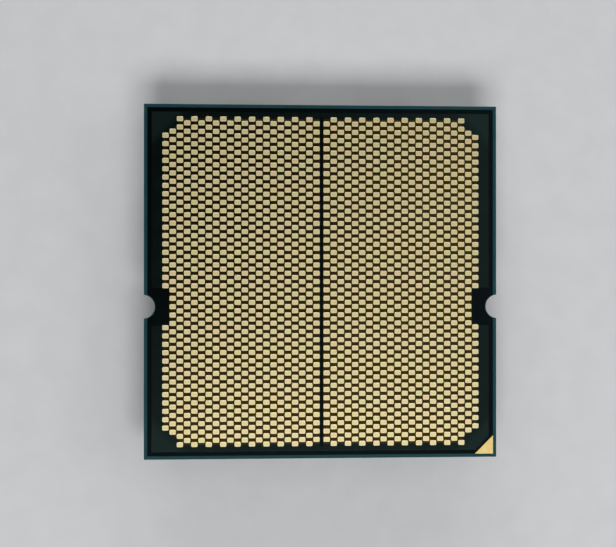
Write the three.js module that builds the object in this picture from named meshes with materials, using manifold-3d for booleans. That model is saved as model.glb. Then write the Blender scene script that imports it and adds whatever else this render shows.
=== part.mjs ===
// A land-grid computer processor, lying on its heat spreader with its contact lands facing up.
// Millimetres, +Z up. The origin is the centre of the spreader's outer face, which a cooler presses on.
// -Y is the front: both keying notches sit towards it, and the pin 1 marker is at the front right corner.
// The stack, from the origin up: heat spreader, solder and adhesive, dies, laminated board, lands.
import * as THREE from "three";
import { mergeVertices } from "three/addons/utils/BufferGeometryUtils.js";
import Module from "manifold-3d";

const wasm = await Module();
wasm.setup();

// Board outline
const packageSide = 40;
const notchRadius = 1.34;
const notchCentreOutside = 0.12; // the notch's centre lies this far past the board's edge
const notchFromMiddle = 2.82; // towards the front

// Board layers
const coreThickness = 0.86;
const buildupThickness = 0.23; // one on each side of the core
const copperThickness = 0.02;
const maskThickness = 0.02; // over the copper
const maskPullback = 0.38; // from the board's edge
const maskNotchPullback = 0.08;
const copperPullback = 0.88;
const copperNotchPullback = 0.8;

// Contact lands, in two fields of staggered columns
const landLength = 0.54;
const landProud = 0.02; // above the mask
const columnPitch = 0.81;
const rowPitch = 0.94; // along a column; its neighbours are half of this further on
const fieldGap = 1.148; // between the centres of the two innermost columns
const landSideMargin = 2.4; // least distance from the left and right edges to a land's centre
const landEndMargin = 1.65; // the same for the front and back edges
const landCornerCut = 1.45;
const landNotchClearance = 1.76;
const fieldRim = 0.05; // around each column, so that neighbouring columns join

// Pin 1 marker, a right-angled triangle on each side of the board
const markerLeg = 2.1;
const markerCopperClearance = 0.3;

// Heat spreader: a slab with eight arms, which stand on feet around a shallow cavity
const spreaderMargin = 1.5; // from the board's edge
const spreaderHeight = 3.4;
const ledgeWidth = 1.7; // the ledge that a socket's load plate presses on
const ledgeDepth = 1;
const edgeBevel = 0.25;
const armCornerChamfer = 2.2;
const footWidth = 3.2;
const cavityRadius = 1.2;
const cornerArmWidth = 7.1; // from the spreader's side to the nearest window
const windowWidth = 5.6;
const windowDepth = 4.2;
const windowInnerRadius = 0.8;
const windowMouthRadius = 0.4;
const armEndRadius = 0.5;
const adhesiveThickness = 0.15;
const adhesiveInset = 0.35; // from the foot's edges

// Dies, face down on solder bumps, with solder between their backs and the spreader
const dieThickness = 0.72;
const bumpHeight = 0.07;
const dieSolderThickness = 0.28;
const dieSolderOverhang = 0.12;
const underfillWidth = 0.7;
const underfillHeight = 0.45;
const underfillRadius = 0.5; // in plan, at its outer corners
const ioDieWidth = 12.9;
const ioDieLength = 9.5;
const computeDieWidth = 7;
const computeDieLength = 10.1;
const computeDieSpacing = 12.4; // between the two dies' centres
const dieRowGap = 1.6; // between the compute dies and the input-output die
const dieWindowClearance = 0.9; // from the compute dies to the line of the spreader's windows

// Capacitors, in a row across each window
const capacitorLength = 1.6;
const capacitorWidth = 0.8;
const capacitorHeight = 0.7;
const capacitorEndLength = 0.32; // the metal end cap
const capacitorEndStep = 0.03; // how far the end cap stands out from the ceramic
const capacitorPitch = 1.45;
const capacitorsPerWindow = 3;
const capacitorEdgeDistance = 2.75; // from the board's edge to the capacitor's middle

// Heights worked out from the stack
const cavityDepth = dieSolderThickness + dieThickness + bumpHeight - adhesiveThickness;
const slabTop = spreaderHeight - cavityDepth;
const outerLayer = copperThickness + maskThickness;
const maskBottom = spreaderHeight + adhesiveThickness; // the face that the dies and capacitors stand on
const boardBottom = maskBottom + outerLayer;
const coreBottom = boardBottom + buildupThickness;
const coreTop = coreBottom + coreThickness;
const boardTop = coreTop + buildupThickness;
const maskTop = boardTop + outerLayer;

// Places worked out from the outlines
const boardHalf = packageSide / 2;
const spreaderHalf = boardHalf - spreaderMargin;
const windowInner = spreaderHalf - windowDepth;
const windowFar = spreaderHalf - cornerArmWidth; // along the side, from the middle to the window's far end
const windowNear = windowFar - windowWidth;
const cavityHalf = spreaderHalf - footWidth;

const finishes = {
  laminate: { color: 0x24494c, roughness: 0.55, metalness: 0 },
  core: { color: 0x3c5a50, roughness: 0.7, metalness: 0 },
  mask: { color: 0x0b1212, roughness: 0.3, metalness: 0 },
  copper: { color: 0x9c5a34, roughness: 0.4, metalness: 1 },
  gold: { color: 0xd9bd7c, roughness: 0.32, metalness: 1 },
  nickel: { color: 0xb9b7b2, roughness: 0.35, metalness: 1 },
  silicon: { color: 0x4a4d55, roughness: 0.2, metalness: 0.4 },
  underfill: { color: 0x23201d, roughness: 0.45, metalness: 0 },
  solder: { color: 0xc4c5c6, roughness: 0.4, metalness: 1 },
  adhesive: { color: 0x2a2a2a, roughness: 0.8, metalness: 0 },
  ceramic: { color: 0x8f6f52, roughness: 0.5, metalness: 0 },
};

const arcSteps = 6; // in each rounded corner
const notchSteps = 24;

const part = new THREE.Group();

// A closed geometry as a solid that can be joined and cut.
function solidOf(geometry) {
  const bare = geometry.clone();
  bare.deleteAttribute("normal");
  bare.deleteAttribute("uv");
  const merged = mergeVertices(bare);
  const vertProperties = merged.attributes.position.array;
  const triVerts = new Uint32Array(merged.index.array);
  return new wasm.Manifold(new wasm.Mesh({ numProp: 3, vertProperties, triVerts }));
}

// A solid as a flat-shaded geometry.
function geometryOf(solid) {
  const { vertProperties, triVerts } = solid.getMesh();
  const indexed = new THREE.BufferGeometry();
  indexed.setAttribute("position", new THREE.BufferAttribute(vertProperties, 3));
  indexed.setIndex(new THREE.BufferAttribute(triVerts, 1));
  const flat = indexed.toNonIndexed();
  flat.computeVertexNormals();
  return flat;
}

function addPiece(name, geometry, finish, parent = part) {
  const mesh = new THREE.Mesh(geometry, new THREE.MeshStandardMaterial(finishes[finish]));
  mesh.name = name;
  parent.add(mesh);
  return mesh;
}

// An outline extruded up from bottom to top, with an optional hole in it.
function plate(outline, bottom, top, hole = null) {
  const shape = new THREE.Shape(outline);
  if (hole) shape.holes.push(new THREE.Path(hole));
  const geometry = new THREE.ExtrudeGeometry(shape, { depth: top - bottom, bevelEnabled: false });
  return geometry.translate(0, 0, bottom);
}

function block(width, length, bottom, top, x = 0, y = 0) {
  const box = new THREE.BoxGeometry(width, length, top - bottom);
  return box.translate(x, y, (bottom + top) / 2);
}

// Points along an arc, both ends included.
function arc(centre, radius, from, to, steps) {
  return Array.from({ length: steps + 1 }, (_, i) => {
    const angle = from + ((to - from) * i) / steps;
    return new THREE.Vector2(radius * Math.cos(angle), radius * Math.sin(angle)).add(centre);
  });
}

// A closed outline through the corners, each rounded by its own radius.
function roundedOutline(corners) {
  return corners.flatMap(({ x, y, radius }, i) => {
    const corner = new THREE.Vector2(x, y);
    const back = corner.clone().sub(corners.at(i - 1)).negate().normalize();
    const ahead = corner.clone().sub(corners[(i + 1) % corners.length]).negate().normalize();
    const halfAngle = Math.acos(back.dot(ahead)) / 2;
    const middle = back.clone().add(ahead).normalize();
    const centre = corner.clone().addScaledVector(middle, radius / Math.sin(halfAngle));
    const reach = radius / Math.tan(halfAngle);
    const from = corner.clone().addScaledVector(back, reach).sub(centre).angle();
    let to = corner.clone().addScaledVector(ahead, reach).sub(centre).angle();
    if (to - from > Math.PI) to -= 2 * Math.PI;
    if (to - from < -Math.PI) to += 2 * Math.PI;
    return arc(centre, radius, from, to, arcSteps);
  });
}

// The corners of a rectangle about the middle, anticlockwise.
function rectangle(width, length, radius = 0) {
  const corners = [[-1, -1], [1, -1], [1, 1], [-1, 1]];
  return corners.map(([x, y]) => ({ x: (x * width) / 2, y: (y * length) / 2, radius }));
}

function roundedSquare(half, radius) {
  return roundedOutline(rectangle(2 * half, 2 * half, radius));
}

function plainRectangle(width, length) {
  return rectangle(width, length).map(({ x, y }) => new THREE.Vector2(x, y));
}

// The board's outline, drawn in from its straight edges and its two notches.
// cornerCut is how far the cut at the marker's corner reaches along each edge of this outline.
function boardOutline(edgePullback = 0, notchPullback = 0, cornerCut = 0) {
  const half = boardHalf - edgePullback;
  const radius = notchRadius + notchPullback;
  const centreOut = boardHalf + notchCentreOutside;
  const reach = Math.acos((centreOut - half) / radius); // half the angle that the notch's arc spans
  const right = new THREE.Vector2(centreOut, -notchFromMiddle);
  const left = new THREE.Vector2(-centreOut, -notchFromMiddle);
  const corner = [new THREE.Vector2(half - cornerCut, -half), new THREE.Vector2(half, cornerCut - half)];
  return [
    new THREE.Vector2(-half, -half),
    ...(cornerCut > 0 ? corner : corner.slice(1)),
    ...arc(right, radius, Math.PI + reach, Math.PI - reach, notchSteps),
    new THREE.Vector2(half, half),
    new THREE.Vector2(-half, half),
    ...arc(left, radius, reach, -reach, notchSteps),
  ];
}

// The pin 1 marker's triangle: it fills the corner that is cut off the mask.
function markerOutline() {
  const corner = boardHalf - maskPullback;
  return [
    new THREE.Vector2(corner, -corner),
    new THREE.Vector2(corner, markerLeg - corner),
    new THREE.Vector2(corner - markerLeg, -corner),
  ];
}

// The laminate that carries everything: a glass-filled core between two build-up layers.
function addLaminate() {
  addPiece("buildup_die_side", plate(boardOutline(), boardBottom, coreBottom), "laminate");
  addPiece("core_laminate", plate(boardOutline(), coreBottom, coreTop), "core");
  addPiece("buildup_land_side", plate(boardOutline(), coreTop, boardTop), "laminate");
}

// One outer face of the board: a copper plane, the mask over it, and the marker in the mask's corner.
// face is the laminate's surface, and away is +1 above the board and -1 below it.
function addOuterLayers(sideName, face, away) {
  const layer = (outline, from, to) => {
    const [bottom, top] = [face + away * from, face + away * to].sort((a, b) => a - b);
    return plate(outline, bottom, top);
  };
  const copperCut =
    markerLeg + markerCopperClearance * Math.SQRT2 - 2 * (copperPullback - maskPullback);
  const copper = boardOutline(copperPullback, copperNotchPullback, copperCut);
  const mask = boardOutline(maskPullback, maskNotchPullback, markerLeg);
  addPiece(`copper_plane_${sideName}`, layer(copper, 0, copperThickness), "copper");
  addPiece(`solder_mask_${sideName}`, layer(mask, copperThickness, outerLayer), "mask");
  addPiece(`pin_one_marker_${sideName}`, layer(markerOutline(), 0, outerLayer), "gold");
}

// The lands of the right-hand field, as runs of neighbours along each column: x, first y and last y.
function landRuns() {
  const columns = Math.floor((boardHalf - landSideMargin - fieldGap / 2) / columnPitch) + 1;
  const lastStep = Math.floor((boardHalf - landEndMargin) / (rowPitch / 2));
  const lastX = fieldGap / 2 + (columns - 1) * columnPitch;
  const lastY = (lastStep * rowPitch) / 2;
  const notch = new THREE.Vector2(boardHalf + notchCentreOutside, -notchFromMiddle);
  const runs = [];
  for (let column = 0; column < columns; column += 1) {
    const x = fieldGap / 2 + column * columnPitch;
    let run = null;
    for (let step = -lastStep; step <= lastStep; step += 1) {
      if ((step + lastStep + columns - 1 - column) % 2 !== 0) continue;
      const y = (step * rowPitch) / 2;
      const inCorner = lastX - x + (lastY - Math.abs(y)) < landCornerCut;
      const byNotch = notch.distanceTo(new THREE.Vector2(x, y)) < notchRadius + landNotchClearance;
      if (inCorner || byNotch) {
        run = null;
      } else if (run) {
        run.lastY = y;
      } else {
        run = { x, firstY: y, lastY: y };
        runs.push(run);
      }
    }
  }
  return runs;
}

// A field of lands as one plate: its stepped ends and its recess beside the notch are the lands' own.
function landField(side) {
  const strips = landRuns().map(({ x, firstY, lastY }) => {
    const width = columnPitch + 2 * fieldRim;
    const length = lastY - firstY + landLength + 2 * fieldRim;
    return solidOf(block(width, length, maskTop, maskTop + landProud, side * x, (firstY + lastY) / 2));
  });
  return geometryOf(wasm.Manifold.union(strips));
}

function addLands() {
  addPiece("land_field_left", landField(-1), "gold");
  addPiece("land_field_right", landField(1), "gold");
}

// The front side of the spreader's outline, as corners from left to right, with its two windows.
function spreaderSide(half, chamfer) {
  const window = (from, to) => [
    { x: from, y: -half, radius: windowMouthRadius },
    { x: from, y: -windowInner, radius: windowInnerRadius },
    { x: to, y: -windowInner, radius: windowInnerRadius },
    { x: to, y: -half, radius: windowMouthRadius },
  ];
  return [
    { x: chamfer - half, y: -half, radius: armEndRadius },
    ...window(-windowFar, -windowNear),
    ...window(windowNear, windowFar),
    { x: half - chamfer, y: -half, radius: armEndRadius },
  ];
}

// The spreader's outline with its arms' ends drawn in. The windows' sides stay where they are.
function spreaderOutline(inset) {
  const half = spreaderHalf - inset;
  const chamfer = armCornerChamfer - inset * (2 - Math.SQRT2);
  const middle = new THREE.Vector2();
  const corners = [0, 1, 2, 3].flatMap((quarter) =>
    spreaderSide(half, chamfer).map(({ x, y, radius }) => {
      const turned = new THREE.Vector2(x, y).rotateAround(middle, (quarter * Math.PI) / 2);
      return { x: turned.x, y: turned.y, radius };
    }),
  );
  return roundedOutline(corners);
}

// The raised part of the spreader, with a bevel round its outer face.
function spreaderPlateau() {
  const geometry = new THREE.ExtrudeGeometry(new THREE.Shape(spreaderOutline(ledgeWidth)), {
    depth: slabTop - edgeBevel,
    bevelThickness: edgeBevel,
    bevelSize: edgeBevel,
    bevelOffset: -edgeBevel,
    bevelSegments: 2,
  });
  const plateau = solidOf(geometry.translate(0, 0, edgeBevel));
  return plateau.intersect(solidOf(block(packageSide, packageSide, 0, slabTop)));
}

function addSpreader() {
  const arms = solidOf(plate(spreaderOutline(0), ledgeDepth, spreaderHeight));
  const cavity = solidOf(plate(roundedSquare(cavityHalf, cavityRadius), slabTop, 2 * spreaderHeight));
  addPiece("heat_spreader", geometryOf(spreaderPlateau().add(arms).subtract(cavity)), "nickel");
}

// The adhesive under each arm's foot, drawn in from the foot's edges.
function addAdhesive() {
  const outer = solidOf(plate(spreaderOutline(adhesiveInset), spreaderHeight, maskBottom));
  const cavity = roundedSquare(cavityHalf + adhesiveInset, cavityRadius);
  const ring = outer.subtract(solidOf(plate(cavity, 0, packageSide)));
  const cornerStart = windowFar + adhesiveInset;
  const cornerWidth = boardHalf - cornerStart;
  const middleWidth = 2 * (windowNear - adhesiveInset);
  const widthAt = (place) => (place === 0 ? middleWidth : cornerWidth);
  const centreAt = (place) => place * (cornerStart + cornerWidth / 2);
  const feet = {
    front: [0, -1], front_right: [1, -1], right: [1, 0], back_right: [1, 1],
    back: [0, 1], back_left: [-1, 1], left: [-1, 0], front_left: [-1, -1],
  };
  for (const [name, [x, y]] of Object.entries(feet)) {
    const around = block(widthAt(x), widthAt(y), 0, packageSide, centreAt(x), centreAt(y));
    addPiece(`adhesive_${name}`, geometryOf(ring.intersect(solidOf(around))), "adhesive");
  }
}

// A die centred on (x, y) with its bumps, its underfill and the solder on its back.
function addDie(name, width, length, x, y) {
  const back = slabTop + dieSolderThickness;
  const face = back + dieThickness;
  const stack = new THREE.Group();
  stack.position.set(x, y, 0);
  part.add(stack);
  const solder = block(width + 2 * dieSolderOverhang, length + 2 * dieSolderOverhang, slabTop, back);
  addPiece(`${name}_thermal_solder`, solder, "solder", stack);
  addPiece(name, block(width, length, back, face), "silicon", stack);
  addPiece(`${name}_bump_layer`, block(width, length, face, maskBottom), "solder", stack);
  const around = rectangle(width + 2 * underfillWidth, length + 2 * underfillWidth, underfillRadius);
  const bottom = maskBottom - underfillHeight;
  const ring = plate(roundedOutline(around), bottom, maskBottom, plainRectangle(width, length));
  addPiece(`${name}_underfill`, ring, "underfill", stack);
}

// Two compute dies side by side near the front, and the input-output die behind them.
function addDies() {
  const computeY = computeDieLength / 2 + dieWindowClearance - windowInner;
  const ioY = computeY + computeDieLength / 2 + dieRowGap + ioDieLength / 2;
  addDie("compute_die_left", computeDieWidth, computeDieLength, -computeDieSpacing / 2, computeY);
  addDie("compute_die_right", computeDieWidth, computeDieLength, computeDieSpacing / 2, computeY);
  addDie("io_die", ioDieWidth, ioDieLength, 0, ioY);
}

// A chip capacitor standing on the board at the origin: a ceramic body between two thicker end caps.
// across is the unit vector along the board's edge, which the capacitor's length is square to.
function capacitor(across) {
  const size = (alongEdge, inwards) =>
    across.x !== 0 ? [alongEdge, inwards] : [inwards, alongEdge];
  const body = block(
    ...size(capacitorWidth - 2 * capacitorEndStep, capacitorLength - capacitorEndLength),
    capacitorEndStep - capacitorHeight,
    -capacitorEndStep,
  );
  const endCentre = (capacitorLength - capacitorEndLength) / 2;
  const ends = [-endCentre, endCentre].map((y) =>
    block(...size(capacitorWidth, capacitorEndLength), -capacitorHeight, 0, ...size(0, y)),
  );
  return geometryOf(wasm.Manifold.union([body, ...ends].map(solidOf)));
}

// A row of capacitors in each window, numbered along their side of the board, anticlockwise.
function addCapacitors() {
  const windowMiddle = (windowNear + windowFar) / 2;
  const outDistance = boardHalf - capacitorEdgeDistance;
  const sides = { front: [0, -1], right: [1, 0], back: [0, 1], left: [-1, 0] };
  for (const [sideName, direction] of Object.entries(sides)) {
    const out = new THREE.Vector2(...direction);
    const across = new THREE.Vector2(-out.y, out.x);
    for (let i = 0; i < 2 * capacitorsPerWindow; i += 1) {
      const middle = i < capacitorsPerWindow ? -windowMiddle : windowMiddle;
      const inWindow = (i % capacitorsPerWindow) - (capacitorsPerWindow - 1) / 2;
      const place = out.clone().multiplyScalar(outDistance);
      place.addScaledVector(across, middle + inWindow * capacitorPitch);
      const mesh = addPiece(`capacitor_${sideName}_${i + 1}`, capacitor(across), "ceramic");
      mesh.position.set(place.x, place.y, maskBottom);
    }
  }
}

addSpreader();
addAdhesive();
addDies();
addCapacitors();
addLaminate();
addOuterLayers("die_side", boardBottom, -1);
addOuterLayers("land_side", boardTop, 1);
addLands();

export default part;
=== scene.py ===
import math
import random

import bmesh
import bpy
from mathutils import Matrix, Vector


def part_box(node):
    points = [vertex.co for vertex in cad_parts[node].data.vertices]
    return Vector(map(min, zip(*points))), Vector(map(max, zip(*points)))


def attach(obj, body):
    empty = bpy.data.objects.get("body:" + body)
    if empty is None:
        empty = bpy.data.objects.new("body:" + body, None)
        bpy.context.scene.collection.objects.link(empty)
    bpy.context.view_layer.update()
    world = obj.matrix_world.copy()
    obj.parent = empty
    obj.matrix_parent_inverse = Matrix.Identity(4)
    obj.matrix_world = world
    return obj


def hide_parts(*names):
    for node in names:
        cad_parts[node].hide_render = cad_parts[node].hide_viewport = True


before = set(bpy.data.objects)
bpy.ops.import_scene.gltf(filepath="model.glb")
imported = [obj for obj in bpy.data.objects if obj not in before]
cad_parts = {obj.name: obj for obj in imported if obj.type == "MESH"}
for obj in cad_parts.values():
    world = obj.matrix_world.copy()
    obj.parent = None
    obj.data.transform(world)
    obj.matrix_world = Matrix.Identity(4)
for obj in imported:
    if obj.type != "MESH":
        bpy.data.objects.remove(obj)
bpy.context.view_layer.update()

mm = 0.001  # pieces are modelled in millimetres and scaled to metres when they are finished
near = 1e-4  # places closer than this, in millimetres, are the same
cutterOverrun = 1  # how far a cutter reaches past what it cuts, in millimetres


def boxInMm(node):
    low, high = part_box(node)
    return low / mm, high / mm


def outerFace(node, away):
    # the height of the face that looks up, where away is 1, or down, where it is -1
    low, high = boxInMm(node)
    return high.z if away > 0 else low.z


def pieceName(node):
    first, *others = node.split("_")
    return first + "".join(word.capitalize() for word in others)


# Working in the viewport, from code

def deselectAll():
    if bpy.context.object and bpy.context.object.mode != "OBJECT":
        bpy.ops.object.mode_set(mode="OBJECT")
    bpy.ops.object.select_all(action="DESELECT")


def makeActive(piece):
    deselectAll()
    piece.select_set(True)
    bpy.context.view_layer.objects.active = piece


def addBlock(name, low, high):
    low, high = Vector(low), Vector(high)
    deselectAll()
    bpy.ops.mesh.primitive_cube_add(size=1, location=(low + high) / 2, scale=high - low)
    bpy.ops.object.transform_apply(location=True, rotation=True, scale=True)
    block = bpy.context.object
    block.name = name
    return block


def cutOff(piece, place, direction):
    # removes all that lies past a plane, in the direction given
    makeActive(piece)
    bpy.ops.object.mode_set(mode="EDIT")
    bpy.ops.mesh.select_all(action="SELECT")
    bpy.ops.mesh.bisect(plane_co=place, plane_no=direction, use_fill=True, clear_outer=True)
    bpy.ops.object.mode_set(mode="OBJECT")


def roundEdges(piece, wanted, size, segments=2, profile=0.5):
    makeActive(piece)
    bpy.ops.object.mode_set(mode="EDIT")
    bpy.ops.mesh.select_mode(type="EDGE")
    bpy.ops.mesh.select_all(action="DESELECT")
    mesh = bmesh.from_edit_mesh(piece.data)
    for edge in mesh.edges:
        edge.select_set(wanted(edge))
    bmesh.update_edit_mesh(piece.data)
    bpy.ops.mesh.bevel(offset=size, segments=segments, profile=profile, affect="EDGES")
    bpy.ops.object.mode_set(mode="OBJECT")


def isAnyEdge(edge):
    return True


def isUpright(edge):
    first, second = (vert.co for vert in edge.verts)
    return abs(first.x - second.x) < near and abs(first.y - second.y) < near


def isRimAt(height):
    # an edge at this height that has a steep face on one side
    def wanted(edge):
        level = all(abs(vert.co.z - height) < near for vert in edge.verts)
        return level and any(abs(face.normal.z) < 0.5 for face in edge.link_faces)
    return wanted


def combine(piece, other, operation):
    makeActive(piece)
    modifier = piece.modifiers.new("combine", "BOOLEAN")
    modifier.operation = operation
    modifier.solver = "EXACT"
    modifier.object = other
    bpy.ops.object.modifier_apply(modifier="combine")
    bpy.data.objects.remove(other)


def joinAll(pieces, name):
    deselectAll()
    for piece in pieces:
        piece.select_set(True)
    bpy.context.view_layer.objects.active = pieces[0]
    bpy.ops.object.join()
    bpy.context.object.name = name
    return bpy.context.object


def finishPiece(piece, node, materials, smoothUnder=35):
    makeActive(piece)
    bpy.ops.object.shade_smooth_by_angle(angle=math.radians(smoothUnder))
    # large flat faces keep their own normal, and the rounded edges bend towards it
    piece.modifiers.new("weighted", "WEIGHTED_NORMAL").keep_sharp = True
    bpy.ops.object.modifier_apply(modifier="weighted")
    piece.scale = (mm, mm, mm)
    bpy.ops.object.transform_apply(location=True, rotation=True, scale=True)
    for material in materials:
        piece.data.materials.append(material)
    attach(piece, "root")
    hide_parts(node)


# Materials: every size in their settings is in millimetres

colourMix = {"data_type": "RGBA"}
factorIn, firstIn, secondIn, mixedOut = 0, 6, 7, 2  # a Mix node's sockets when it mixes colours
noiseLimits = (0.3, 0.7)  # nearly all of a noise lies between these


def linear(hexCode):
    channels = [int(hexCode[i:i + 2], 16) / 255 for i in (0, 2, 4)]
    return tuple(c / 12.92 if c <= 0.04045 else ((c + 0.055) / 1.055) ** 2.4 for c in channels) + (1.0,)


def addNode(tree, kind, settings=None, links=None):
    # a setting in small letters is the node's own, and any other is a socket's name or number
    node = tree.nodes.new("ShaderNode" + kind)
    for key, value in (settings or {}).items():
        if key == "stops":
            ramp = node.color_ramp.elements
            while len(ramp) < len(value):
                ramp.new(0.5)
            for element, (position, hexCode) in zip(ramp, value):
                element.position = position
                element.color = linear(hexCode)
        elif isinstance(key, str) and key[0].islower():
            setattr(node, key, value)
        else:
            node.inputs[key].default_value = value
    for key, (source, output) in (links or {}).items():
        tree.links.new(source.outputs[output], node.inputs[key])
    return node


def startMaterial(name):
    material = bpy.data.materials.new(name)
    material.use_nodes = True
    material.node_tree.nodes.clear()
    place = addNode(material.node_tree, "TexCoord")
    return material, material.node_tree, (place, "Object")


def addShader(tree, settings, links):
    shader = addNode(tree, "BsdfPrincipled", settings, links)
    addNode(tree, "OutputMaterial", links={"Surface": (shader, "BSDF")})


def addTones(tree, place, size, detail, tones, limits=noiseLimits):
    # two tones in cloudy patches about size across, with harder edges the closer the limits are
    noise = addNode(tree, "TexNoise", {"Scale": 1 / (size * mm), "Detail": detail}, {"Vector": place})
    patches = addNode(tree, "MapRange", {"From Min": limits[0], "From Max": limits[1]},
                      {"Value": (noise, "Fac")})
    colour = addNode(tree, "Mix", {**colourMix, firstIn: linear(tones[0]), secondIn: linear(tones[1])},
                     {factorIn: (patches, "Result")})
    return colour, noise


def addSurface(tree, place, look):
    # a fine grain that varies the gloss and raises the surface, as links for the shader
    noise = addNode(tree, "TexNoise", {"Scale": 1 / (look["grain"] * mm), "Detail": look["grainDetail"]},
                    {"Vector": place})
    smooth, rough = look["roughness"]
    gloss = addNode(tree, "MapRange", {"From Min": noiseLimits[0], "From Max": noiseLimits[1],
                                       "To Min": smooth, "To Max": rough}, {"Value": (noise, "Fac")})
    bump = addNode(tree, "Bump", {"Distance": look["grainDepth"] * mm}, {"Height": (noise, "Fac")})
    return {"Roughness": (gloss, "Result"), "Normal": (bump, "Normal")}


landGoldSettings = {
    # a paler tone on each pad's rim, a painted highlight
    "rim": "e4dcb6",
    "tints": ("cfca93", "d5c895", "d9c59a", "dbc192"),
    "blotch": 0.22,
    "blotchShift": 0.3,  # how far a blotch moves a pad's tone along the tints
    "roughness": (0.5, 0.58),
    "grain": 0.09,
    "grainDetail": 3,
    "grainDepth": 0.0012,
}


def makeLandGold():
    # Gold electroplated over nickel on etched copper pads: a matte pale yellow, with a highlight
    # painted on the rim, and never quite the same tone from one pad to the next
    look = landGoldSettings
    material, tree, place = startMaterial("platedLandGold")
    noise = addNode(tree, "TexNoise", {"Scale": 1 / (look["blotch"] * mm), "Detail": 1}, {"Vector": place})
    shift = addNode(tree, "MapRange", {"From Min": noiseLimits[0], "From Max": noiseLimits[1],
                                       "To Min": -look["blotchShift"], "To Max": look["blotchShift"]},
                    {"Value": (noise, "Fac")})
    padTint = addNode(tree, "Attribute", {"attribute_name": "padTint"})
    tint = addNode(tree, "Math", {"operation": "ADD", "use_clamp": True},
                   {0: (padTint, "Fac"), 1: (shift, "Result")})
    lastTint = len(look["tints"]) - 1
    stops = [(i / lastTint, hexCode) for i, hexCode in enumerate(look["tints"])]
    middle = addNode(tree, "ValToRGB", {"stops": stops}, {"Fac": (tint, "Value")})
    # the pads' rims are mixed towards a painted highlight
    padRim = addNode(tree, "Attribute", {"attribute_name": "padRim"})
    colour = addNode(tree, "Mix", {**colourMix, secondIn: linear(look["rim"])},
                     {factorIn: (padRim, "Fac"), firstIn: (middle, "Color")})
    addShader(tree, {"Metallic": 1.0}, {"Base Color": (colour, mixedOut), **addSurface(tree, place, look)})
    return material


maskSettings = {
    "overCopper": {"tones": ("010504", "030907"), "tint": "b9e5e2", "specular": 0.44},
    "overResin": {"tones": ("010203", "020405"), "tint": "b9e5ea", "specular": 0.2},
    "cloud": 2.4,
    "cloudLimits": (0.35, 0.65),
    "roughness": (0.19, 0.24),
    "grain": 0.25,
    "grainDetail": 3,
    "grainDepth": 0.0006,
    "traces": "544214",
    "tracesFade": 0.25,
    "tracesCornerCut": 2.75,  # how far inside the field's own corner the traces end, along X and Y together
    "cornerTone": "0c1614",
    "cornerFade": (0.25, 1.5),  # where the corners' tone starts and is full, from the traces' end
}


def makeSolderMask(name, look, roundLands=False):
    # Black light-cured solder mask: a thin glossy lacquer that shows what is under it, so it is
    # greener over copper, blacker over bare resin, and brown over the traces between the lands
    material, tree, place = startMaterial(name)
    colour, _ = addTones(tree, place, maskSettings["cloud"], 3, look["tones"], maskSettings["cloudLimits"])
    links = addSurface(tree, place, maskSettings)
    if roundLands:
        traces, corners = addTraceArea(tree, place)
        colour = addNode(tree, "Mix", {**colourMix, secondIn: linear(maskSettings["cornerTone"])},
                         {factorIn: corners, firstIn: (colour, mixedOut)})
        colour = addNode(tree, "Mix", {**colourMix, secondIn: linear(maskSettings["traces"])},
                         {factorIn: traces, firstIn: (colour, mixedOut)})
        links["Metallic"] = traces
    links["Base Color"] = (colour, mixedOut)
    addShader(tree, {"Specular Tint": linear(look["tint"]), "Specular IOR Level": look["specular"]}, links)
    return material


def addTraceArea(tree, place):
    # one mask is 1 among the lands and fades out at their fields' edges, the other is 1 in the corners
    low, high = boxInMm("land_field_right")
    fade = maskSettings["tracesFade"]
    cornerStart, cornerFull = maskSettings["cornerFade"]
    cut = high.x + high.y - maskSettings["tracesCornerCut"]
    axes = addNode(tree, "SeparateXYZ", links={"Vector": place})
    sideways = addNode(tree, "Math", {"operation": "ABSOLUTE"}, {0: (axes, "X")})
    lengthways = addNode(tree, "Math", {"operation": "ABSOLUTE"}, {0: (axes, "Y")})
    diagonal = addNode(tree, "Math", {"operation": "ADD"},
                       {0: (sideways, "Value"), 1: (lengthways, "Value")})
    fades = (
        (sideways, low.x, low.x + fade),
        (sideways, high.x - fade, high.x - 2 * fade),
        (lengthways, high.y - fade, high.y - 2 * fade),
        (diagonal, cut, cut - fade),
        (diagonal, cut + cornerStart, cut + cornerFull),
    )
    inColumns, inWidth, inLength, inCorner, corners = (
        (addNode(tree, "MapRange", {"From Min": start * mm, "From Max": end * mm},
                 {"Value": (axis, "Value")}), "Result")
        for axis, start, end in fades
    )
    across = addNode(tree, "Math", {"operation": "MULTIPLY"}, {0: inColumns, 1: inWidth})
    along = addNode(tree, "Math", {"operation": "MULTIPLY"}, {0: inLength, 1: inCorner})
    traces = addNode(tree, "Math", {"operation": "MULTIPLY"}, {0: (across, "Value"), 1: (along, "Value")})
    return (traces, "Value"), corners


resinSettings = {
    "tones": ("0a2d31", "0e3439"),
    "cloud": 1.6,
    "specks": "3a6a70",
    "speckSize": 0.06,
    "speckLimits": (0.66, 0.74),
    "speckStrength": 0.5,
    "speckHeight": 0.002,
    "roughness": 0.3,
    "tint": "b9e5ea",
}


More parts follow.
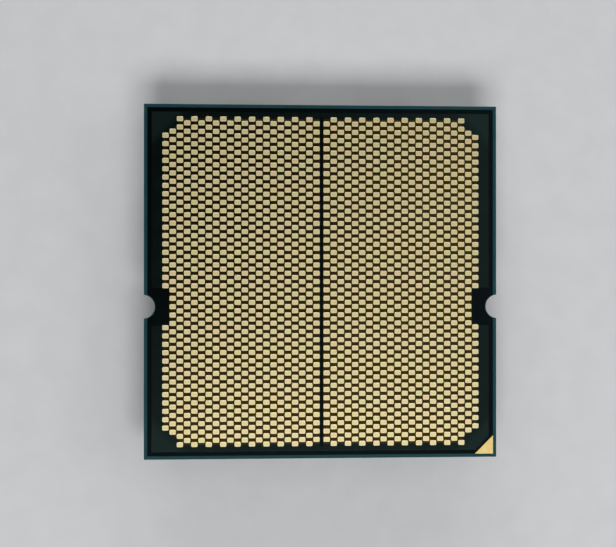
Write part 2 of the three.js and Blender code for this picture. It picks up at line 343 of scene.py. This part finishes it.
def makeBuildupResin():
    # Bare build-up resin, etched free of copper: dark teal and satin, with pale glass specks
    look = resinSettings
    material, tree, place = startMaterial("tealBuildupResin")
    base, _ = addTones(tree, place, look["cloud"], 4, look["tones"])
    specks = addNode(tree, "TexNoise", {"Scale": 1 / (look["speckSize"] * mm), "Detail": 1},
                     {"Vector": place})
    dimmest, fullest = look["speckLimits"]
    speckMask = addNode(tree, "MapRange", {"From Min": dimmest, "From Max": fullest,
                                           "To Max": look["speckStrength"]}, {"Value": (specks, "Fac")})
    colour = addNode(tree, "Mix", {**colourMix, secondIn: linear(look["specks"])},
                     {factorIn: (speckMask, "Result"), firstIn: (base, mixedOut)})
    bump = addNode(tree, "Bump", {"Distance": look["speckHeight"] * mm}, {"Height": (specks, "Fac")})
    addShader(tree, {"Roughness": look["roughness"], "Specular Tint": linear(look["tint"])},
              {"Base Color": (colour, mixedOut), "Normal": (bump, "Normal")})
    return material


coreSettings = {
    "tones": ("27463f", "7d927a"),
    "layers": "1c3531",
    "yarn": 0.35,
    "yarnLimits": (0.4, 0.62),
    "yarnFlatness": 5.0,
    "yarnHeight": 0.012,
    "layerSpacing": 0.9,
    "layerWaviness": 1.2,
    "layerStrength": 0.45,
    "roughness": 0.62,
    "ior": 1.55,
}


def makeGlassCore():
    # Glass cloth in epoxy, cut by a router: pale green, with the cut ends of the yarns in rows
    look = coreSettings
    material, tree, place = startMaterial("routedGlassCore")
    flattened = addNode(tree, "Mapping", {"Scale": (1.0, 1.0, look["yarnFlatness"])}, {"Vector": place})
    base, yarns = addTones(tree, (flattened, "Vector"), look["yarn"], 3, look["tones"], look["yarnLimits"])
    layers = addNode(tree, "TexWave", {"bands_direction": "Z", "Scale": 1 / (look["layerSpacing"] * mm),
                                       "Distortion": look["layerWaviness"], "Detail": 2}, {"Vector": place})
    layerMask = addNode(tree, "MapRange", {"To Max": look["layerStrength"]}, {"Value": (layers, "Fac")})
    colour = addNode(tree, "Mix", {**colourMix, secondIn: linear(look["layers"])},
                     {factorIn: (layerMask, "Result"), firstIn: (base, mixedOut)})
    bump = addNode(tree, "Bump", {"Distance": look["yarnHeight"] * mm}, {"Height": (yarns, "Fac")})
    addShader(tree, {"Roughness": look["roughness"], "IOR": look["ior"]},
              {"Base Color": (colour, mixedOut), "Normal": (bump, "Normal")})
    return material


nickelSettings = {
    "tones": ("b1aea7", "c9c6bf"),
    "cloud": 6.0,
    "roughness": (0.3, 0.42),
    "grain": 0.12,
    "grainDetail": 4,
    "grainDepth": 0.003,
}


def makeNickelPlate():
    # Electrolytic nickel over blasted copper: a warm grey, finely grained satin metal
    look = nickelSettings
    material, tree, place = startMaterial("satinNickelPlate")
    colour, _ = addTones(tree, place, look["cloud"], 4, look["tones"])
    addShader(tree, {"Metallic": 1.0}, {"Base Color": (colour, mixedOut), **addSurface(tree, place, look)})
    return material


speckledSettings = {
    # The lands' plating on a wide pad: smoother, in broad blotches of two warm tones
    "platedMarkerGold": {"tones": ("d9bd75", "ddc88d"), "speck": 0.9, "speckDetail": 2,
                         "roughness": (0.42, 0.52), "grain": 0.09, "grainDetail": 3, "grainDepth": 0.0012,
                         "metallic": 1.0},
    # Black filled silicone, dispensed and cured: matte, slightly lumpy
    "curedSiliconeBead": {"tones": ("141414", "242424"), "roughness": (0.7, 0.82), "grain": 0.4,
                          "grainDepth": 0.01},
    # Polished back of a silicon die: dark, blue-grey and mirror-like
    "polishedSilicon": {"tones": ("3a3e47", "464a54"), "roughness": (0.11, 0.23), "grain": 1.5,
                        "grainDepth": 0.0005, "metallic": 0.6},
    # Capillary underfill: silica-filled epoxy, black and satin
    "underfillEpoxy": {"tones": ("15120f", "26211b"), "roughness": (0.35, 0.47), "grain": 0.15,
                       "grainDepth": 0.004},
    # Indium solder, reflowed between die and lid: soft white metal
    "indiumSolder": {"tones": ("b4b5b6", "cfd0d0"), "roughness": (0.33, 0.45), "grain": 0.5,
                     "grainDepth": 0.004, "metallic": 1.0},
    # Tin-silver bumps, reflowed under a die: duller and finer
    "bumpSolder": {"tones": ("8d8f90", "b9baba"), "roughness": (0.37, 0.49), "grain": 0.13,
                   "grainDepth": 0.004, "metallic": 1.0},
    # Etched copper under the mask: warm and micro-rough
    "etchedCopper": {"tones": ("8c4d2c", "a7623b"), "roughness": (0.45, 0.57), "grain": 0.08,
                     "grainDepth": 0.002, "metallic": 1.0},
    # Fired barium titanate: a tan ceramic, finely speckled
    "firedCeramic": {"tones": ("7a5d45", "9a7a5e"), "roughness": (0.45, 0.57), "grain": 0.09,
                     "grainDepth": 0.003, "ior": 1.9},
    # Matte tin over nickel on the end caps, with the solder that wets them
    "tinnedCap": {"tones": ("a9a9a6", "c6c6c3"), "roughness": (0.29, 0.41), "grain": 0.11,
                  "grainDepth": 0.004, "metallic": 1.0},
}


def makeSpeckled(name):
    # two tones in specks, which are the surface's own grain unless they have a size of their own
    look = {"speckLimits": (0.35, 0.65), "grainDetail": 4, "metallic": 0.0, "ior": 1.5}
    look.update(speckledSettings[name])
    material, tree, place = startMaterial(name)
    speck = look.get("speck", look["grain"])
    detail = look.get("speckDetail", look["grainDetail"])
    colour, _ = addTones(tree, place, speck, detail, look["tones"], look["speckLimits"])
    addShader(tree, {"Metallic": look["metallic"], "IOR": look["ior"]},
              {"Base Color": (colour, mixedOut), **addSurface(tree, place, look)})
    return material


landGold = makeLandGold()
markerGold = makeSpeckled("platedMarkerGold")
maskOverCopper = makeSolderMask("solderMaskOverCopper", maskSettings["overCopper"])
maskRoundLands = makeSolderMask("solderMaskRoundLands", maskSettings["overCopper"], roundLands=True)
maskOverResin = makeSolderMask("solderMaskOverResin", maskSettings["overResin"])
buildupResin = makeBuildupResin()
glassCore = makeGlassCore()
nickelPlate = makeNickelPlate()
siliconeBead = makeSpeckled("curedSiliconeBead")
siliconDie = makeSpeckled("polishedSilicon")
underfillEpoxy = makeSpeckled("underfillEpoxy")
thermalSolder = makeSpeckled("indiumSolder")
bumpSolder = makeSpeckled("bumpSolder")
etchedCopper = makeSpeckled("etchedCopper")
firedCeramic = makeSpeckled("firedCeramic")
tinnedCap = makeSpeckled("tinnedCap")
print("materials made")


# The board's outline, as its notches and its layers' margins give it
boardSettings = {
    "notchRadius": 1.34,
    "notchOutside": 0.12,  # the notch's centre is this far past the edge
    "notchForward": 2.82,  # and this far in front of the middle
    "notchArcPoints": 96,
    "maskPullback": 0.38,
    "maskNotchPullback": 0.08,
    "copperPullback": 0.88,
    "copperNotchPullback": 0.8,
    "bareReach": 2.85,  # how far in from the edge the bare zone round a notch reaches
    "bareHalfHeight": 2.14,
    "bareCorner": 0.4,
    "splitWidth": 0.38,  # the channel between the two halves of the copper
    "maskStep": 0.6,  # the part of its height that the mask has over bare resin
    "markerClearance": 0.3,  # from the marker's slope to the copper
    "markerCorner": 0.05,
    "edgeRounding": 0.03,
    "thinRounding": 0.012,  # of the mask and the marker
}
boardHalf = boxInMm("core_laminate")[1].x
boardSides = (("land_side", 1), ("die_side", -1))  # and the way each one faces, along Z


def addBoardPlate(name, bottom, top, edgePullback=0.0, notchPullback=0.0, cornerCut=0.0):
    # a slab with the board's outline drawn in by the pullbacks, and its marker corner cut off
    half = boardHalf - edgePullback
    plate = addBlock(name, (-half, -half, bottom), (half, half, top))
    if cornerCut:
        cutOff(plate, (half, cornerCut - half, 0), (1, -1, 0))
    for side in (-1, 1):
        deselectAll()
        bpy.ops.mesh.primitive_cylinder_add(
            vertices=boardSettings["notchArcPoints"],
            radius=boardSettings["notchRadius"] + notchPullback,
            depth=top - bottom + 2 * cutterOverrun,
            location=(side * (boardHalf + boardSettings["notchOutside"]),
                      -boardSettings["notchForward"], (top + bottom) / 2),
        )
        combine(plate, bpy.context.object, "DIFFERENCE")
    return plate


def makeLaminate():
    low, high = boxInMm("core_laminate")
    core = addBoardPlate(pieceName("core_laminate"), low.z, high.z)
    finishPiece(core, "core_laminate", [glassCore])
    for sideName, away in boardSides:
        node = "buildup_" + sideName
        low, high = boxInMm(node)
        plate = addBoardPlate(pieceName(node), low.z, high.z)
        roundEdges(plate, isRimAt(outerFace(node, away)), boardSettings["edgeRounding"])
        finishPiece(plate, node, [buildupResin])


def clearNotches(plate, bottom, top):
    # no copper lies between a notch and the lands
    middle, halfHeight = -boardSettings["notchForward"], boardSettings["bareHalfHeight"]
    for side in (-1, 1):
        ends = sorted((side * (boardHalf - boardSettings["bareReach"]), side * (boardHalf + cutterOverrun)))
        zone = addBlock("bareZone", (ends[0], middle - halfHeight, bottom - cutterOverrun),
                        (ends[1], middle + halfHeight, top + cutterOverrun))
        roundEdges(zone, isUpright, boardSettings["bareCorner"], segments=6)
        combine(plate, zone, "DIFFERENCE")


def splitInTwo(plate, bottom, top):
    # a channel runs between the two fields of lands, where the copper's halves part
    halfWidth, end = boardSettings["splitWidth"] / 2, boxInMm("land_field_left")[1].y
    channel = addBlock("channel", (-halfWidth, -end, bottom - cutterOverrun),
                       (halfWidth, end, top + cutterOverrun))
    combine(plate, channel, "DIFFERENCE")


def makeSolderMaskFace(sideName, away):
    # the mask lies on the resin round the rim and steps up over the copper plane
    node = "solder_mask_" + sideName
    markerLow, markerHigh = boxInMm("pin_one_marker_" + sideName)
    leg = markerHigh.x - markerLow.x
    resinFace = outerFace("buildup_" + sideName, away)
    maskFace = outerFace(node, away)
    step = resinFace + boardSettings["maskStep"] * (maskFace - resinFace)
    bare, drawnIn = boardSettings["maskPullback"], boardSettings["copperPullback"]

    mask = addBoardPlate(pieceName(node), min(resinFace, step), max(resinFace, step), bare,
                         boardSettings["maskNotchPullback"], leg)
    roundEdges(mask, isRimAt(step), boardSettings["thinRounding"])

    # the raised sheet starts halfway down the other, so that the two join
    low, high = sorted(((resinFace + step) / 2, maskFace))
    markerCut = leg + boardSettings["markerClearance"] * math.sqrt(2) - 2 * (drawnIn - bare)
    raised = addBoardPlate("raisedMask", low, high, drawnIn,
                           boardSettings["copperNotchPullback"], markerCut)
    clearNotches(raised, low, high)
    if sideName == "land_side":
        splitInTwo(raised, low, high)
    roundEdges(raised, isRimAt(maskFace), boardSettings["thinRounding"])
    combine(mask, raised, "UNION")

    overCopper = maskRoundLands if sideName == "land_side" else maskOverCopper
    finishPiece(mask, node, [maskOverResin, overCopper])
    for face in mask.data.polygons:
        face.material_index = 1 if (face.center.z / mm - step) * away > near else 0


def makeMarker(sideName, away):
    node = "pin_one_marker_" + sideName
    low, high = boxInMm(node)
    marker = addBlock(pieceName("marker_" + sideName), low, high)
    cutOff(marker, (high.x, high.y, low.z), (-1, 1, 0))
    roundEdges(marker, isUpright, boardSettings["markerCorner"], segments=3)
    roundEdges(marker, isRimAt(outerFace(node, away)), boardSettings["thinRounding"])
    finishPiece(marker, node, [markerGold])


makeLaminate()
for sideName, away in boardSides:
    makeSolderMaskFace(sideName, away)
for sideName, away in boardSides:
    makeMarker(sideName, away)
print("board made")


landSettings = {
    "width": 0.71,
    "length": 0.54,
    "corner": 0.11,
    "rimRounding": 0.012,
    "rimWidth": 0.09,  # the band where a highlight is painted on the rim
    "sunk": 0.01,  # how deep a land's foot is in the mask
    "columnPitch": 0.81,
    "rowPitch": 0.94,
    "fieldRim": 0.05,  # the margin of the field's CAD plate round its lands
    "cornerCut": 1.45,  # a land is left out nearer than this to the corner, along X and Y together
    "notchClearance": 1.76,  # and nearer than this to the notch's edge
    "tintMiddle": 0.45,
    "tintSpread": 0.22,
}
landDice = random.Random(7)


def addPadRimHighlight(land, top):
    # the flat face is inset once, so that the painted highlight on the rim can fade towards the middle
    makeActive(land)
    bpy.ops.object.mode_set(mode="EDIT")
    bpy.ops.mesh.select_mode(type="FACE")
    bpy.ops.mesh.select_all(action="DESELECT")
    mesh = bmesh.from_edit_mesh(land.data)
    for face in mesh.faces:
        face.select_set(abs(face.normal.z) > 0.9 and abs(face.calc_center_median().z - top) < near)
    bmesh.update_edit_mesh(land.data)
    bpy.ops.mesh.inset(thickness=landSettings["rimWidth"])
    bpy.ops.object.mode_set(mode="OBJECT")
    middle = {index for face in land.data.polygons if face.select for index in face.vertices}
    padRim = land.data.attributes.new("padRim", "FLOAT", "POINT")
    for index, value in enumerate(padRim.data):
        value.value = 0.0 if index in middle else 1.0


def makeLandModel(bottom, top):
    width, length = landSettings["width"], landSettings["length"]
    land = addBlock("landModel", (-width / 2, -length / 2, bottom), (width / 2, length / 2, top))
    roundEdges(land, isUpright, landSettings["corner"], segments=3)
    roundEdges(land, isRimAt(top), landSettings["rimRounding"], segments=1)
    addPadRimHighlight(land, top)
    land.data.attributes.new("padTint", "FLOAT", "POINT")
    return land


def landPlaces(node):
    # the centres of the lands in one field: staggered columns, less those at the corners and the notch
    low, high = boxInMm(node)
    side = 1 if high.x > 0 else -1
    inner, outer = sorted((abs(low.x), abs(high.x)))
    pitch, rim = landSettings["columnPitch"], landSettings["fieldRim"]
    halfRow = landSettings["rowPitch"] / 2
    columns = round((outer - inner - 2 * rim) / pitch)
    lastStep = round((high.y - rim - landSettings["length"] / 2) / halfRow)
    lastX = outer - rim - pitch / 2
    notch = Vector((boardHalf + boardSettings["notchOutside"], -boardSettings["notchForward"]))
    notchReach = boardSettings["notchRadius"] + landSettings["notchClearance"]
    places = []
    for column in range(columns):
        columnsLeft = columns - 1 - column
        x = lastX - columnsLeft * pitch
        for step in range(-lastStep, lastStep + 1):
            if (step + lastStep + columnsLeft) % 2:
                continue
            y = step * halfRow
            inCorner = lastX - x + lastStep * halfRow - abs(y) < landSettings["cornerCut"]
            byNotch = (notch - Vector((x, y))).length < notchReach
            if not (inCorner or byNotch):
                places.append((side * x, y))
    return places


def makeLandField(node, name, model):
    lands = []
    for x, y in landPlaces(node):
        land = model.copy()
        land.data = model.data.copy()
        land.data.transform(Matrix.Translation((x, y, 0)))
        tint = min(max(landDice.gauss(landSettings["tintMiddle"], landSettings["tintSpread"]), 0), 1)
        for value in land.data.attributes["padTint"].data:
            value.value = tint
        bpy.context.scene.collection.objects.link(land)
        lands.append(land)
    field = joinAll(lands, name)
    finishPiece(field, node, [landGold], smoothUnder=25)
    print(name, len(lands), "lands")


fieldLow, fieldHigh = boxInMm("land_field_left")
landModel = makeLandModel(fieldLow.z - landSettings["sunk"], fieldHigh.z)
makeLandField("land_field_left", "landsLeft", landModel)
makeLandField("land_field_right", "landsRight", landModel)
bpy.data.objects.remove(landModel)


# Copies of CAD solids that only have their edges rounded
roundingSettings = {
    "mergeUnder": 0.002,  # millimetres between points that become one
    "flatUnder": 1,  # degrees between faces that become one
    "sharpOver": 40,  # degrees between faces whose edge is rounded
    "spreader": 0.09,
    "adhesive": 0.05,
    "underfill": 0.12,
}


def isSharp(edge):
    sharpOver = math.radians(roundingSettings["sharpOver"])
    return len(edge.link_faces) == 2 and edge.calc_face_angle() > sharpOver


def copyRounded(node, size):
    piece = bpy.data.objects.new(pieceName(node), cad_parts[node].data.copy())
    bpy.context.scene.collection.objects.link(piece)
    piece.data.materials.clear()
    piece.data.transform(Matrix.Scale(1 / mm, 4))
    makeActive(piece)
    bpy.ops.object.mode_set(mode="EDIT")
    bpy.ops.mesh.select_all(action="SELECT")
    bpy.ops.mesh.remove_doubles(threshold=roundingSettings["mergeUnder"])
    bpy.ops.mesh.dissolve_limited(angle_limit=math.radians(roundingSettings["flatUnder"]))
    bpy.ops.object.mode_set(mode="OBJECT")
    roundEdges(piece, isSharp, size)
    return piece


def makeHeatSpreader():
    spreader = copyRounded("heat_spreader", roundingSettings["spreader"])
    finishPiece(spreader, "heat_spreader", [nickelPlate])


def makeBeads():
    # what is dispensed as a liquid has no sharp edges
    for node in sorted(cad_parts):
        if node.startswith("adhesive"):
            bead = copyRounded(node, roundingSettings["adhesive"])
            finishPiece(bead, node, [siliconeBead])
        elif node.endswith("underfill"):
            bead = copyRounded(node, roundingSettings["underfill"])
            finishPiece(bead, node, [underfillEpoxy])


makeHeatSpreader()
makeBeads()
print("heat spreader and beads made")


capacitorSettings = {
    "capLength": 0.32,
    "bodyStep": 0.03,  # how far the body lies inside the caps' faces
    "rounding": 0.05,
    "filletHeight": 0.3,
    "filletReach": 0.16,
    "filletInset": 0.04,  # from the cap's sides
    "filletSlope": 0.95,  # the part of its reach that the slope takes
    "filletProfile": 0.2,  # below a half the slope is hollow
}


def isFarFoot(y):
    # the fillet's outer edge that is away from the board
    def wanted(edge):
        return all(abs(vert.co.y - y) < near and vert.co.z < -near for vert in edge.verts)
    return wanted


def makeCapacitorModel(length, width, height):
    # stands head down from z = 0, with its length along Y
    step, capLength = capacitorSettings["bodyStep"], capacitorSettings["capLength"]
    rounding, reach = capacitorSettings["rounding"], capacitorSettings["filletReach"]
    body = addBlock("capacitorModel", (step - width / 2, capLength / 2 - length / 2, step - height),
                    (width / 2 - step, length / 2 - capLength / 2, -step))
    roundEdges(body, isAnyEdge, rounding / 2)
    body.data.materials.append(firedCeramic)
    parts = [body]
    halfFillet = width / 2 - capacitorSettings["filletInset"]
    for end in (-1, 1):
        capEnds = sorted((end * (length / 2 - capLength), end * length / 2))
        cap = addBlock("cap", (-width / 2, capEnds[0], -height), (width / 2, capEnds[1], 0))
        roundEdges(cap, isAnyEdge, rounding, segments=3)
        foot = end * (length / 2 + reach)
        filletEnds = sorted((foot, end * (length / 2 - reach)))
        fillet = addBlock("fillet", (-halfFillet, filletEnds[0], -capacitorSettings["filletHeight"]),
                          (halfFillet, filletEnds[1], 0))
        roundEdges(fillet, isFarFoot(foot), reach * capacitorSettings["filletSlope"], segments=4,
                   profile=capacitorSettings["filletProfile"])
        parts += [cap, fillet]
    for part in parts[1:]:
        part.data.materials.append(tinnedCap)
    return joinAll(parts, "capacitorModel")


def makeCapacitors():
    low, high = boxInMm("capacitor_front_1")
    model = makeCapacitorModel(high.y - low.y, high.x - low.x, high.z - low.z)
    for node in sorted(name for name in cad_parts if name.startswith("capacitor_")):
        low, high = boxInMm(node)
        centre = (low + high) / 2
        capacitor = model.copy()
        capacitor.data = model.data.copy()
        if high.x - low.x > high.y - low.y:
            capacitor.data.transform(Matrix.Rotation(math.pi / 2, 4, "Z"))
        capacitor.data.transform(Matrix.Translation((centre.x, centre.y, high.z)))
        capacitor.name = pieceName(node)
        bpy.context.scene.collection.objects.link(capacitor)
        finishPiece(capacitor, node, [])
    bpy.data.objects.remove(model)


makeCapacitors()
print("capacitors made")


# CAD solids that keep their shape and only take a finish
finishesByEnding = {
    "plane_land_side": etchedCopper,
    "plane_die_side": etchedCopper,
    "thermal_solder": thermalSolder,
    "bump_layer": bumpSolder,
    "die_left": siliconDie,
    "die_right": siliconDie,
    "io_die": siliconDie,
}
for node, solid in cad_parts.items():
    for ending, finish in finishesByEnding.items():
        if node.endswith(ending):
            solid.data.materials.clear()
            solid.data.materials.append(finish)
print("other solids finished")


# Floor, room, lights and camera. Their places and sizes are in metres
stageSettings = {
    "floorSize": 3.0,
    "floorTones": ("b7b8ba", "bbbcbe"),
    "floorCloud": 3.0,  # in millimetres
    "floorRoughness": 0.85,
    "roomStrength": 0.6,
    # a pale room, dark only round the point overhead where the camera stands
    "darkAxis": (-0.1, 0.14, 1.0),
    # grey by the cosine of the angle to the dark axis
    "roomTones": ((0.0, "6c6c6c"), (0.35, "969696"), (0.8, "a0a0a0"), (0.92, "c4c4c4"),
                  (0.955, "ffffff"), (0.975, "8c8c8c"), (0.99, "2c2c2c"), (0.998, "0a0a0a")),
    "softboxes": {
        "frontSoftbox": {"place": (0.03, -0.385, 0.46), "size": (0.5, 0.24), "power": 3.36},
        "backSoftbox": {"place": (0, 0.6, 0.13), "size": (0.6, 0.2), "power": 4.0},
        "rightSoftbox": {"place": (0.6, 0.05, 0.3), "size": (0.4, 0.3), "power": 1.0},
    },
}


def makeFloor():
    deselectAll()
    bpy.ops.mesh.primitive_plane_add(size=stageSettings["floorSize"], location=(0, 0, 0))
    floor = bpy.context.object
    floor.name = "studioFloor"
    material, tree, place = startMaterial("paleFloorCard")
    colour, _ = addTones(tree, place, stageSettings["floorCloud"], 4, stageSettings["floorTones"])
    addShader(tree, {"Roughness": stageSettings["floorRoughness"]}, {"Base Color": (colour, mixedOut)})
    floor.data.materials.append(material)


def makeRoom():
    world = bpy.data.worlds.new("studioRoom")
    bpy.context.scene.world = world
    world.use_nodes = True
    tree = world.node_tree
    tree.nodes.clear()
    direction = addNode(tree, "TexCoord")
    axis = Vector(stageSettings["darkAxis"]).normalized()
    towardsAxis = addNode(tree, "VectorMath", {"operation": "DOT_PRODUCT", 1: axis},
                          {0: (direction, "Generated")})
    grey = addNode(tree, "ValToRGB", {"stops": stageSettings["roomTones"]}, {"Fac": (towardsAxis, "Value")})
    room = addNode(tree, "Background", {"Strength": stageSettings["roomStrength"]},
                   {"Color": (grey, "Color")})
    addNode(tree, "OutputWorld", links={"Surface": (room, "Background")})


def makeSoftbox(name, place, size, power):
    deselectAll()
    bpy.ops.object.light_add(type="AREA", location=place)
    softbox = bpy.context.object
    softbox.name = name
    softbox.data.shape = "RECTANGLE"
    softbox.data.size, softbox.data.size_y = size
    softbox.data.energy = power
    softbox.rotation_mode = "QUATERNION"
    softbox.rotation_quaternion = Vector(place).to_track_quat("Z", "Y")


cameraSettings = {
    "lens": 70.1,
    "sensor": 36.0,
    "distance": 135.7,  # from the lands' plane, in millimetres
    "leanLeft": 3.42,  # degrees that the camera leans over the left side
    "leanBack": 0.2,
    "aim": (-1.54, 0.92),  # millimetres from the middle of the lands to what the camera looks at
    "clip": (0.005, 10),  # in metres
}


def makeCamera():
    camera = bpy.data.objects.new("camera", bpy.data.cameras.new("camera"))
    bpy.context.scene.collection.objects.link(camera)
    camera.data.lens = cameraSettings["lens"]
    camera.data.sensor_width = cameraSettings["sensor"]
    camera.data.clip_start, camera.data.clip_end = cameraSettings["clip"]
    leanBack, leanLeft = math.radians(cameraSettings["leanBack"]), math.radians(cameraSettings["leanLeft"])
    camera.rotation_euler = (leanBack, -leanLeft, 0)
    away = camera.rotation_euler.to_matrix() @ Vector((0, 0, 1))
    aim = Vector((*cameraSettings["aim"], fieldHigh.z))
    camera.location = (aim + away * cameraSettings["distance"]) * mm
    bpy.context.scene.camera = camera


makeFloor()
makeRoom()
for name, softbox in stageSettings["softboxes"].items():
    makeSoftbox(name, **softbox)
makeCamera()
bpy.context.scene.view_settings.view_transform = "Standard"  # tones stay as they are mixed
print("stage made")
